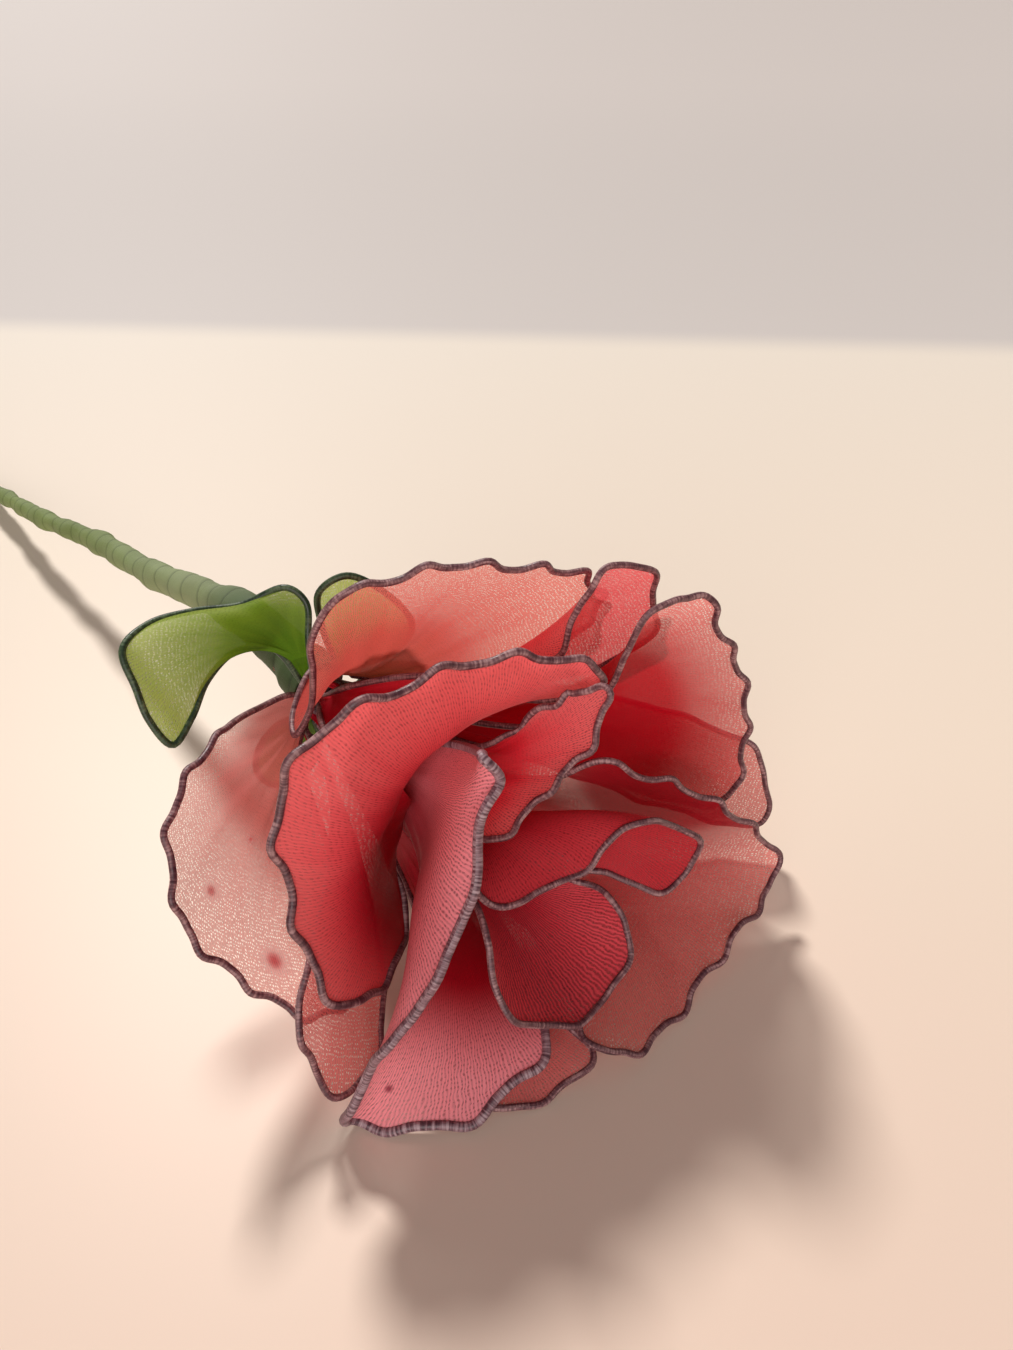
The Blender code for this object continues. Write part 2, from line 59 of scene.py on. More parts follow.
def run_of(line):
    """The distance along a line of points: the running sum of its steps."""
    return np.concatenate([[0], np.cumsum(np.linalg.norm(np.diff(line, axis=0), axis=1))])


def at_run(line, places):
    """The points of a line at the given distances along it, by straight interpolation."""
    run = run_of(line)
    return np.stack([np.interp(places, run, line[:, k]) for k in range(3)], axis=1)


def through(points, places):
    """A cubic curve through points, read at places from 0 to 1.

    A point's slope is that of its neighbours, and the knots are spaced by the square root of the
    distance between points."""
    points = np.asarray(points, float)
    knots = np.concatenate([[0], np.cumsum(np.linalg.norm(np.diff(points, axis=0), axis=1) ** 0.5)])
    slopes = np.gradient(points, knots, axis=0)
    at = np.asarray(places) * knots[-1]
    i = np.clip(np.searchsorted(knots, at, side="right") - 1, 0, len(points) - 2)
    span = (knots[i + 1] - knots[i])[:, None]
    x = (at - knots[i])[:, None] / span
    return ((2 * x**3 - 3 * x**2 + 1) * points[i] + (x**3 - 2 * x**2 + x) * span * slopes[i]
            + (3 * x**2 - 2 * x**3) * points[i + 1] + (x**3 - x**2) * span * slopes[i + 1])


def fresh(name):
    """A new material with its Principled shader: (material, node tree, shader)."""
    finish = bpy.data.materials.new(name)
    finish.use_nodes = True
    return finish, finish.node_tree, finish.node_tree.nodes["Principled BSDF"]


def node(tree, kind, settings=(), **links):
    """Adds a node, sets its properties, and gives each named socket a value or a link.

    A socket is named by its label with spaces as underscores, or by i and its number. A Mix node's
    numbers are sockets 2 and 3, and its colours 6 and 7."""
    new = tree.nodes.new("ShaderNode" + kind)
    for key, value in dict(settings).items():
        setattr(new, key, value)
    for key, value in links.items():
        where = int(key[1:]) if key[0] == "i" and key[1:].isdigit() else key.replace("_", " ")
        if isinstance(value, bpy.types.NodeSocket):
            tree.links.new(value, new.inputs[where])
        else:
            new.inputs[where].default_value = value
    return new


def ramp(tree, value, stops):
    """A colour ramp on a value, from a list of (place, colour)."""
    new = node(tree, "ValToRGB", Fac=value)
    bar = new.color_ramp.elements
    for k, (place, colour) in enumerate(stops):
        stop = bar[k] if k < 2 else bar.new(place)
        stop.position, stop.color = place, (*colour, 1)
    return new.outputs["Color"]


def between(tree, value, low, high, out_low=0.0, out_high=1.0):
    """A smooth step of a value from low to high, put out as out_low to out_high."""
    return node(tree, "MapRange", {"interpolation_type": "SMOOTHSTEP"}, Value=value, From_Min=low,
                From_Max=high, To_Min=out_low, To_Max=out_high).outputs[0]


stem_line = through(STEM_LINE, np.linspace(0, 1, FINE))
neck_run = np.interp(0, stem_line[:, 1], run_of(stem_line))
stem_run = run_of(stem_line)[-1] - neck_run
across = np.array([1.0, 0.0, 0.0])

core_finish, tree, shader = fresh("cut iron wire")
where = node(tree, "TexCoord").outputs["Object"]
scratches = node(tree, "TexNoise", Vector=where, Scale=900.0, Detail=3.0).outputs["Fac"]
tree.links.new(ramp(tree, scratches, [(0.35, (0.20, 0.19, 0.18)), (0.7, (0.46, 0.45, 0.43))]),
               shader.inputs["Base Color"])
tree.links.new(between(tree, scratches, 0.3, 0.7, 0.28, 0.5), shader.inputs["Roughness"])
shader.inputs["Metallic"].default_value = 1.0
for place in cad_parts["stem_core"].material_slots:
    place.material = core_finish

# The binding thread: three turns of white cotton, pulled tight round the tails of the petal wires
# before the tape went on. The tape hides it, apart from a glimpse up the mouth of the tape.
thread_finish, tree, shader = fresh("cotton thread")
where = node(tree, "TexCoord").outputs["Object"]
twist = node(tree, "TexWave", {"bands_direction": "DIAGONAL"}, Vector=where, Scale=900.0,
             Distortion=1.0).outputs["Fac"]
# Painted shade: the darker bands stand for the grooves of the twist.
tree.links.new(ramp(tree, twist, [(0.2, (0.42, 0.39, 0.35)), (0.8, (0.78, 0.75, 0.70))]),
               shader.inputs["Base Color"])
bump = node(tree, "Bump", Height=twist, Strength=0.4, Distance=0.0001)
tree.links.new(bump.outputs[0], shader.inputs["Normal"])
shader.inputs["Roughness"].default_value = 0.85
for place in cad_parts["binding_thread"].material_slots:
    place.material = thread_finish

# The tape: a strip of waxed green crepe paper, stretched and wound in a long spiral round the stem.
# Each turn lies half over the last, which leaves a low step, and it sticks to itself.
TAIL_LENGTH = 20.0
MOUTH_DISTANCE = 2.6
BUNDLE_RADIUS = 3.0
THREAD_OUTSIDE = 3.7
THREAD_END = 0.65
TAPE_WALL = 0.35
MOUTH_BORE = THREAD_OUTSIDE - 0.05
MOUTH_RUN = [-1.5, -3.3]
TAPE_STARTS = -3.6
THIN_BORE = 1.1
CLOSED_BORE_SHARE = 0.1
# What the tape's outside passes through, as (distance behind the neck, radius).
TAPE_OUTSIDE = [(-4.0, THREAD_OUTSIDE + TAPE_WALL), (THREAD_END, THREAD_OUTSIDE + TAPE_WALL),
                (THREAD_END + 2.2, BUNDLE_RADIUS + TAPE_WALL),
                (TAIL_LENGTH + 3, BUNDLE_RADIUS + TAPE_WALL),
                (TAIL_LENGTH + 8, THIN_BORE + 1.55), (TAIL_LENGTH + 25, THIN_BORE + 1.35),
                (110, THIN_BORE + 0.75), (999, THIN_BORE + 0.75)]
# Lumps along the stem are (height, radians a millimetre, shift), and their share is (distance, share).
LUMPS = [(0.18, 0.41, 0), (0.14, 0.17, 1)]
LUMPS_SHARE = [(TAIL_LENGTH, 0.5), (60, 1), (140, 1), (170, 0)]
# Hollows round the stem are (height, how many round it, radians a millimetre).
HOLLOWS = [(0.07, 3, 0.31), (0.08, 2, -0.63)]
TAPE_TURN = 5.2
TAPE_STEP = 0.15
STEP_RISES_WITHIN = 0.1
STEP_SINKS_BY = 0.75
STEP_MIDDLE = 0.35
TAPE_SIDES = 40
TAPE_ROWS = 900
SLOPE_STEP = 0.5


def beside_stem(distances, radii, angles):
    """Points at distances behind the neck along the stem, and at radii and angles round it.

    The stem's direction is taken from two near places, and x and a third direction square to it
    span each ring. Distances, radii and angles are arrays of one length."""
    distances = np.asarray(distances, float)
    centre = at_run(stem_line, neck_run + distances)
    along = unit(at_run(stem_line, neck_run + distances + SLOPE_STEP)
                 - at_run(stem_line, neck_run + distances - SLOPE_STEP))
    beside = unit(across - (along @ across)[:, None] * along)
    up = np.cross(beside, along)
    radii, angles = np.asarray(radii, float), np.asarray(angles, float)
    return centre + radii[:, None] * (np.cos(angles)[:, None] * beside + np.sin(angles)[:, None] * up)


def grid_mesh(name, points, closed, uv, finish, reach=None):
    """A mesh from a grid of points of shape (rows, columns, 3), with a UV for each point.

    Each quad joins a point to the next in its row and column, and a closed grid joins its last
    column to its first through a doubled column, so that the UV has a seam."""
    rows, columns = points.shape[:2]
    if closed:
        points = np.concatenate([points, points[:, :1]], axis=1)
        columns += 1
    index = np.arange(rows * columns).reshape(rows, columns)
    quads = np.stack([index[:-1, :-1], index[:-1, 1:], index[1:, 1:], index[1:, :-1]], axis=-1)
    quads = quads.reshape(-1, 4)
    place = (points.reshape(-1, 3) + NECK) * MM
    mesh = bpy.data.meshes.new(name)
    mesh.vertices.add(len(place))
    mesh.vertices.foreach_set("co", place.ravel())
    mesh.loops.add(quads.size)
    mesh.loops.foreach_set("vertex_index", quads.ravel())
    mesh.polygons.add(len(quads))
    mesh.polygons.foreach_set("loop_start", np.arange(len(quads)) * 4)
    mesh.update(calc_edges=True)
    mesh.uv_layers.new(name="knit").data.foreach_set("uv", uv.reshape(-1, 2)[quads.ravel()].ravel())
    if reach is not None:
        mesh.attributes.new("reach", "FLOAT", "POINT").data.foreach_set("value", reach.ravel())
    mesh.polygons.foreach_set("use_smooth", np.ones(len(quads), bool))
    mesh.materials.append(finish)
    mesh.update()
    piece = bpy.data.objects.new(name, mesh)
    bpy.context.scene.collection.objects.link(piece)
    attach(piece, "root")
    return piece


tape_finish, tree, shader = fresh("waxed green tape")
uv = node(tree, "UVMap", {"uv_map": "knit"}).outputs[0]
split = node(tree, "SeparateXYZ", Vector=uv)
from_neck = split.outputs["Y"]
turn = node(tree, "Math", {"operation": "ADD"}, i0=split.outputs["X"],
            i1=node(tree, "Math", {"operation": "DIVIDE"}, i0=from_neck, i1=TAPE_TURN).outputs[0])
edge = node(tree, "Math", {"operation": "FRACT"}, i0=turn.outputs[0]).outputs[0]
where = node(tree, "TexCoord").outputs["Object"]
drawn_out = node(tree, "Mapping", Vector=uv, Scale=(2.0, 9.0, 1.0)).outputs[0]
crepe = node(tree, "TexNoise", Vector=drawn_out, Scale=1.2, Detail=6.0, Roughness=0.7).outputs["Fac"]
patches = node(tree, "TexNoise", Vector=where, Scale=55.0, Detail=3.0).outputs["Fac"]
length_share = node(tree, "MapRange", Value=from_neck, From_Min=0.0, From_Max=200.0).outputs[0]
length_colour = ramp(tree, length_share,
                     [(0.0, (0.045, 0.085, 0.018)), (0.08, (0.095, 0.150, 0.050)),
                      (0.16, (0.285, 0.340, 0.160)), (0.28, (0.255, 0.325, 0.130)),
                      (0.42, (0.205, 0.275, 0.075)), (1.0, (0.165, 0.220, 0.060))])
# Painted shade: darker just past each lap's edge, at the foot of the step, and in the hollows of the
# crepe, times patches of uneven tone.
lap_shade_and_tone = node(tree, "Math", {"operation": "MULTIPLY"}, i0=between(tree, edge, 0.0, 0.12, 0.62, 1.0),
             i1=between(tree, patches, 0.3, 0.7, 0.82, 1.12)).outputs[0]
lap_shade_and_tone = node(tree, "Math", {"operation": "MULTIPLY"}, i0=lap_shade_and_tone,
             i1=between(tree, crepe, 0.25, 0.75, 0.78, 1.15)).outputs[0]
tint = node(tree, "VectorMath", {"operation": "SCALE"}, i0=length_colour, Scale=lap_shade_and_tone).outputs[0]
tree.links.new(tint, shader.inputs["Base Color"])
tree.links.new(between(tree, crepe, 0.2, 0.8, 0.45, 0.72), shader.inputs["Roughness"])
bump = node(tree, "Bump", Height=crepe, Strength=0.55, Distance=0.0003)
tree.links.new(bump.outputs[0], shader.inputs["Normal"])

tape_run = np.concatenate([MOUTH_RUN, np.linspace(TAPE_STARTS, stem_run, TAPE_ROWS),
                           [stem_run, stem_run]])
skin = np.interp(tape_run, *zip(*TAPE_OUTSIDE))
lumps = sum(height * np.sin(tape_run * often + shift) for height, often, shift in LUMPS)
skin += lumps * np.interp(tape_run, *zip(*LUMPS_SHARE))
angles = 2 * math.pi * np.arange(TAPE_SIDES) / TAPE_SIDES
ring, step = np.meshgrid(angles, tape_run)
lap = (ring / (2 * math.pi) + step / TAPE_TURN) % 1.0
hollows = sum(height * np.sin(count * ring + step * often) for height, count, often in HOLLOWS)
risen = np.minimum(lap / STEP_RISES_WITHIN, 1.0) * (1 - STEP_SINKS_BY * lap)
radius = skin[:, None] + TAPE_STEP * (risen - STEP_MIDDLE) + hollows
radius[:2] = MOUTH_BORE
radius[-2], radius[-1] = THIN_BORE, THIN_BORE * CLOSED_BORE_SHARE
surface = beside_stem(step.ravel(), radius.ravel(), ring.ravel()).reshape(*ring.shape, 3)
turns = np.concatenate([ring, np.full((len(tape_run), 1), 2 * math.pi)], axis=1) / (2 * math.pi)
tape_uv = np.stack([turns, np.repeat(tape_run[:, None], TAPE_SIDES + 1, axis=1)], axis=-1)
tape = grid_mesh("wound_tape", surface, True, tape_uv, tape_finish)
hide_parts("stem_tape")

# The petal wires: thirteen loops of thin painted wire, crimped into waves round the rim. One end of
# each runs down beside the core and is bound there.
WIRE_RADIUS = 0.375
WRAPPED_RADIUS = 0.41
WIRE_SIDES = 10
WIRE_POINT_STEP = 0.55
LEG_GAP = 0.55
WRAP_GROWS_OVER = 4
CLOSED_END_RADIUS = 0.02
LOBE_FLATTENED_BY = 0.12
HEAD_DROOP = math.radians(12)
TAIL_PLACES = np.linspace(TAIL_LENGTH, -MOUTH_DISTANCE, 24)
RINGS = {"inner": {"slots": 8, "radius": 1.475, "spread": 2.025, "distance": 8.0},
         "outer": {"slots": 14, "radius": 2.425, "spread": 2.875, "distance": 8.0},
         "sepal": {"slots": 14, "radius": 2.425, "spread": 1.725, "distance": 5.2}}
# "ring" and "slot" say where a wire's tail lies round the core, and "wave" is the count, height, start
# and end of the crimps. "belly" is how far the nylon's middle is pushed, "roll" pushes it beside one
# stretch of the wire, "starts_wide" is how far apart the legs are where it starts, and "rim" is what
# the loop passes through.
PETALS = {
    "petal_01": {
        "ring": "outer", "slot": 7, "wave": (10, 0.9, 0.17, 0.80), "belly": (-2, -3, 0),
        "starts_wide": 5.0,
        "rim": [(-6, 8, 3), (-13, 11, 6), (-20, 16, 9), (-26, 20, 9), (-31, 23.5, 6.5),
                (-33.5, 27.5, 1.5), (-34, 30, -3.5), (-32, 33, -8), (-29.5, 36, -12), (-26, 39, -16),
                (-20, 37, -20), (-13, 27, -17), (-8.3, 11, -4)]},
    "petal_02": {
        "ring": "outer", "slot": 3, "wave": (7, 1.4, 0.34, 0.74), "belly": (0, -4, 0),
        "rim": [(-4, 10, 7.5), (-9.5, 13.5, 5), (-11.5, 17, 4.5), (-10.5, 20, 9.5),
                (-11, 23, 17), (-12, 25.5, 23), (-9.5, 28, 28.5), (-3, 29.5, 29), (3, 31, 29),
                (10, 33, 27), (16, 34, 25), (22, 34, 21.5), (27, 31, 13), (21, 22, 2.5),
                (9, 12, 0.5)]},
    "petal_03": {
        "ring": "inner", "slot": 1, "wave": (5, 1.0, 0.25, 0.75), "belly": (0, -2, 0),
        "rim": [(7, 19, 4.5), (15.5, 35, 13), (17, 37, 19.5), (20, 38.5, 25.5), (25, 39.5, 24.5),
                (29.5, 38.5, 19), (31, 36, 9), (19, 25, 2)]},
    "petal_04": {
        "ring": "inner", "slot": 3, "wave": (11, 1.4, 0.26, 0.87), "belly": (0, 0, -2),
        "roll": (0.88, 0.05, 3.5, 0, -2),
        "rim": [(-1, 14.5, 5.8), (5, 23, 9), (12, 36.5, 9.3), (16, 43, 13.5),
                (13, 42.5, 17.5), (5, 40, 20.5), (-2, 38, 21.5), (-9, 37, 21), (-15, 36, 20.5),
                (-20, 35, 17.5), (-23.5, 35.5, 13.5), (-25, 36.5, 7.5), (-25.5, 39, 1), (-26, 42, -5),
                (-23.5, 45, -10.5), (-18, 43, -12.5), (-13, 39.5, -14.2), (-9.5, 35.5, -13),
                (-8, 30.5, -9), (-7, 24, -5), (-5.8, 14, 1)]},
    "petal_05": {
        "ring": "inner", "slot": 0, "wave": (8, 0.9, 0.34, 0.74), "belly": (3, -4, 0),
        "rim": [(6, 20, 1), (14, 36, 4), (18, 41.5, 10), (18.5, 44, 17), (19.5, 46, 23),
                (25, 46.5, 23), (28.5, 47, 22.5), (30.5, 47.5, 18), (34, 48, 12.5),
                (37, 48.5, 6.5), (38.5, 49, 0), (39, 49, -6), (38, 49, -13), (36, 46, -16),
                (23, 32, -11), (9, 18, -5)]},
    "petal_06": {
        "ring": "inner", "slot": 2, "wave": (8, 1.0, 0.28, 0.78), "belly": (0.5, -0.5, -1),
        "starts_wide": 6.0,
        "rim": [(1, 22, 1), (3.5, 35.5, 6), (6.5, 38.5, 9), (8.5, 41, 12.5), (11, 44, 15.5),
                (12, 47, 16), (10, 48, 12), (6.5, 47.5, 8.5), (3, 47, 6.5), (0, 46.5, 4),
                (-4.3, 45, 2), (-3.4, 36, 1.9), (-1.2, 22, 0.4)]},
    "petal_07": {
        "ring": "inner", "slot": 7, "wave": (12, 1.1, 0.22, 0.82), "belly": (4, -3, -3),
        "rim": [(5, 24, -4), (9.5, 41, 1), (13, 46, 5), (17, 49, 2.5), (23, 51, -1.5),
                (29, 54, -7), (34, 55.5, -12.5), (38, 57.5, -18.5), (36, 59, -22),
                (31, 60, -22.5), (25, 61, -23), (19, 61.5, -25), (12, 62.5, -26.5), (5, 63, -25.5),
                (-0.5, 61.5, -22.5), (2, 50, -19.5), (3.5, 28, -12)]},
    "petal_08": {
        "ring": "inner", "slot": 5, "wave": (7, 0.7, 0.30, 0.80), "belly": (0, -2, 4),
        "rim": [(-2, 24, -5), (-5, 36, -3.5), (-7.5, 45, -1), (-5.5, 48, -5), (0, 50, -5),
                (5.5, 51, -4.5), (8, 52, -2), (11, 53, 0.5), (14.5, 54, 0), (21, 56, -6.5),
                (19.5, 56, -11), (16, 55, -12), (11, 50, -9.5), (5.5, 40, -7), (2, 26, -5)]},
    "petal_09": {
        "ring": "inner", "slot": 6, "wave": (6, 0.8, 0.30, 0.78), "belly": (0, -2, -2),
        "rim": [(-2, 30, -9), (-7.5, 47.5, -4.5), (-9, 51, -6), (-10.5, 54, -10), (-9, 56.5, -14.5),
                (-4, 58, -18), (2, 58.5, -19.5), (6.5, 57.5, -18), (9.5, 56, -15.5),
                (10, 53.5, -12), (8, 46, -11), (4, 34, -11), (1, 20, -7)]},
    "petal_10": {
        "ring": "inner", "slot": 4, "wave": (10, 0.9, 0.25, 0.82), "belly": (-1, -1, 0),
        "roll": (0.35, 0.12, -2, 0, 0),
        "rim": [(-2.5, 15, 1), (-0.5, 25, 3), (0.4, 34.5, 7.2), (-2.8, 43, 12.8),
                (-5.6, 46.5, 16), (-4.5, 48, 13.5), (-7.5, 48.5, 10.5), (-9.5, 50, 5), (-12, 51, 1),
                (-16, 51.5, -4), (-20, 51.5, -9), (-23.5, 50, -13), (-26, 49, -19), (-28, 47.5, -25),
                (-26.5, 47, -27), (-22, 52, -27), (-16.5, 56, -26.5), (-11, 57, -24.5),
                (-5.5, 57, -22), (0, 48, -21), (0.8, 30, -14.8), (-3.4, 17, -6.3)]},
    "petal_11": {
        "ring": "outer", "slot": 8, "wave": (5, 1.0, 0.30, 0.72), "belly": (0, 0, 0),
        "rim": [(-9, 20, -5), (-24, 38, -8), (-28, 41, -11), (-28.5, 43, -17), (-28, 44, -21.5),
                (-25, 45, -25), (-17, 40, -24.5), (-8, 23, -14)]},
    "petal_12": {
        "ring": "outer", "slot": 10, "wave": (6, 0.9, 0.30, 0.75), "belly": (0, 0, 0),
        "rim": [(-5, 30, -18), (-14.5, 54.5, -26.3), (-12, 57.8, -27), (-6.5, 59.5, -27),
                (-1.2, 60.8, -25.4), (0, 57, -24.6), (-0.5, 44, -24), (0, 26, -16)]},
    "petal_13": {
        "ring": "outer", "slot": 13, "wave": (6, 0.8, 0.30, 0.80), "belly": (0, 0, 0),
        "rim": [(23, 20, -2), (42, 44, -7), (46, 48, -12), (46.5, 49.5, -18), (45.5, 50, -23),
                (38, 41, -22), (19, 20, -12)]},
}
head_axis = np.array([0.0, -math.cos(HEAD_DROOP), -math.sin(HEAD_DROOP)])
head_up = np.array([0.0, -math.sin(HEAD_DROOP), math.cos(HEAD_DROOP)])


def rim_loop(piece):
    """The line of one loop of wire, with its crimps.

    It is the cubic through its points, from one base point to the other. A wave that fades at both
    ends pushes it away from its middle and back: half a cosine, flattened by a second one."""
    ring = RINGS[piece["ring"]]
    radius = ring["radius"] + ring["spread"]
    angle = 2 * math.pi * piece["slot"] / ring["slots"]
    half_step = (2 * WIRE_RADIUS + LEG_GAP) / radius / 2
    first, last = [head_axis * ring["distance"] + radius * (math.cos(a) * across + math.sin(a) * head_up)
                   for a in (angle + half_step, angle - half_step)]
    points = np.array(piece["rim"], float) * (1, -1, 1)
    straight = np.linalg.norm(points[0] - first) + np.linalg.norm(points[-1] - last)
    crossed = np.linalg.norm(points[0] - last) + np.linalg.norm(points[-1] - first)
    if crossed < straight:
        first, last = last, first
    line = through(np.vstack([first, points, last]), np.linspace(0, 1, FINE))
    line = at_run(line, np.linspace(0, run_of(line)[-1], FINE))
    count, height, start, end = piece["wave"]
    if count:
        phase = (np.linspace(0, 1, FINE) - start) / (end - start) * count
        fade = np.clip(np.minimum(phase, count - phase), 0, 1)
        lobe = 0.5 - np.cos(2 * math.pi * phase) / 2 + LOBE_FLATTENED_BY * np.cos(4 * math.pi * phase)
        tangent = unit(np.gradient(line, axis=0))
        away = line - line.mean(axis=0)
        away = unit(away - (away * tangent).sum(axis=1)[:, None] * tangent)
        line = line + away * (height * (lobe - 0.5) * fade)[:, None]
    return line


def wire_tube(name, piece, line, wrapped_radius, finish):
    """A round wire carried along its tail and its loop, where its wrapping makes it thicker.

    Each point's two side directions are the last point's, turned just enough to stay square to the
    wire, so the tube doesn't twist. The UV is the turn round the wire and the distance along it."""
    ring = RINGS[piece["ring"]]
    angle = 2 * math.pi * piece["slot"] / ring["slots"]
    tail = beside_stem(TAIL_PLACES, np.full(len(TAIL_PLACES), ring["radius"]),
                       np.full(len(TAIL_PLACES), angle))
    length = run_of(line)[-1]
    loop = at_run(line, np.linspace(0, length, round(length / WIRE_POINT_STEP)))
    path = np.vstack([tail, loop])
    tangent = unit(np.gradient(path, axis=0))
    beside = np.empty_like(path)
    beside[0] = unit(np.cross(tangent[0], (0.3, 0.2, 0.9)))
    for k in range(1, len(path)):
        carried = beside[k - 1] - beside[k - 1].dot(tangent[k]) * tangent[k]
        beside[k] = carried / np.linalg.norm(carried)
    over = np.cross(tangent, beside)
    distance = run_of(path)
    loop_share = np.clip((distance - distance[len(tail)]) / WRAP_GROWS_OVER, 0, 1)
    radius = WIRE_RADIUS + (wrapped_radius - WIRE_RADIUS) * loop_share
    radius[[0, -1]] = CLOSED_END_RADIUS
    round_it = (2 * math.pi * np.arange(WIRE_SIDES) / WIRE_SIDES)[None, :, None]
    tube = path[:, None] + radius[:, None, None] * (np.cos(round_it) * beside[:, None]
                                                    + np.sin(round_it) * over[:, None])
    turns = np.arange(WIRE_SIDES + 1) / WIRE_SIDES
    uv = np.stack(np.meshgrid(turns, distance), axis=-1)
    return grid_mesh(name, tube[:, ::-1], True, uv, finish)


def wrapped_wire_finish(name, dark, light, tick_highlight, wraps):
    """Painted wire with the nylon drawn tight over it.

    The wire's dark colour shows through in streaks along it, and the threads that cross it make fine
    uneven ticks, a few to the millimetre, coloured as a painted highlight. The level is ticks times
    wraps plus streaks times the rest."""
    finish, tree, shader = fresh(name)
    uv = node(tree, "UVMap", {"uv_map": "knit"}).outputs[0]
    drawn_out = node(tree, "Mapping", Vector=uv, Scale=(5.0, 0.35, 1.0)).outputs[0]
    streaks = node(tree, "TexNoise", {"noise_dimensions": "2D"}, Vector=drawn_out, Scale=1.0,
                   Detail=2.0).outputs["Fac"]
    crowded = node(tree, "Mapping", Vector=uv, Scale=(0.9, 3.6, 1.0)).outputs[0]
    ticks = node(tree, "TexNoise", {"noise_dimensions": "2D"}, Vector=crowded, Scale=1.0,
                 Detail=1.0).outputs["Fac"]
    bare = node(tree, "Math", {"operation": "MULTIPLY"}, i0=streaks, i1=1.0 - wraps).outputs[0]
    level = node(tree, "Math", {"operation": "MULTIPLY_ADD"}, i0=ticks, i1=wraps, i2=bare).outputs[0]
    tree.links.new(ramp(tree, level, [(0.36, dark), (0.52, light), (0.66, tick_highlight)]),
                   shader.inputs["Base Color"])
    tree.links.new(between(tree, level, 0.3, 0.7, 0.34, 0.6), shader.inputs["Roughness"])
    bump = node(tree, "Bump", Height=ticks, Strength=0.45, Distance=0.0001)
    tree.links.new(bump.outputs[0], shader.inputs["Normal"])
    shader.inputs["Specular IOR Level"].default_value = 0.55
    return finish


# The light tick colours are painted highlights where the threads over the wire catch the light.
petal_wire_finish = wrapped_wire_finish("wrapped petal wire", (0.075, 0.022, 0.032),
                                        (0.190, 0.080, 0.090), (0.42, 0.235, 0.235), 0.45)
thick_wrap_finish = wrapped_wire_finish("thickly wrapped petal wire", (0.085, 0.035, 0.048),
                                        (0.27, 0.145, 0.170), (0.46, 0.33, 0.355), 0.75)
THICK_WRAP = {"petal_10": 0.56, "petal_04": 0.46}
loops = {}
for name, piece in PETALS.items():
    loops[name] = rim_loop(piece)
    tube = wire_tube(name + "_loop", piece, loops[name], THICK_WRAP.get(name, WRAPPED_RADIUS),
                     thick_wrap_finish if name == "petal_10" else petal_wire_finish)
    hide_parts(name + "_wire")

# The petals' nylon: a single layer of fine knitted stocking, pulled over each loop and gathered at
# the neck. It is dense and deep red where it is gathered, and towards the rim the stitches open into
# small holes, so that it turns pale and lets the table and the petals behind show through. In the
# inner petals the dark red near the gather is also painted shade of the flower's heart.
FILM_SAMPLES = 512
FILM_AROUND = 300
FILM_ACROSS = 30
ROWS_EVEN, ROWS_CROWDED = 0.45, 0.55
CREASES_OUT, CREASES_REACH = 0.3, 0.45
# Each cosine of the creases is (size, how many times the folds, times the shift, bend on the way out).
FAN = [(1, 1, 1, 0), (0.6, 1.7, 2, 0), (0.35, 3.1, 3, 2)]
GATHER_ROWS = 26
GATHER_COLUMNS = 20
BAND_ROWS = 8
BAND_FROM, BAND_TO = -MOUTH_DISTANCE - 2.2, 3.0
BAND_CLEARANCE = 0.35
PLEATS, PLEAT_HEIGHT = 3, 0.16
GATHER_BULGE = 0.42
GATHER_WIDE = 1.4
PLEATS_GROW = 4
SHEET_STARTS_WIDE = 3.6
WALE_SPACING = 0.44
COURSE_SPACING = 0.46
GATHERED_SHARE = 0.5


def opening(piece, line):
    """The share of a loop at which its two legs are far enough apart for the nylon to start."""
    gap = np.linalg.norm(line - line[::-1], axis=1)
    return np.argmax(gap > piece.get("starts_wide", SHEET_STARTS_WIDE)) / (FINE - 1)


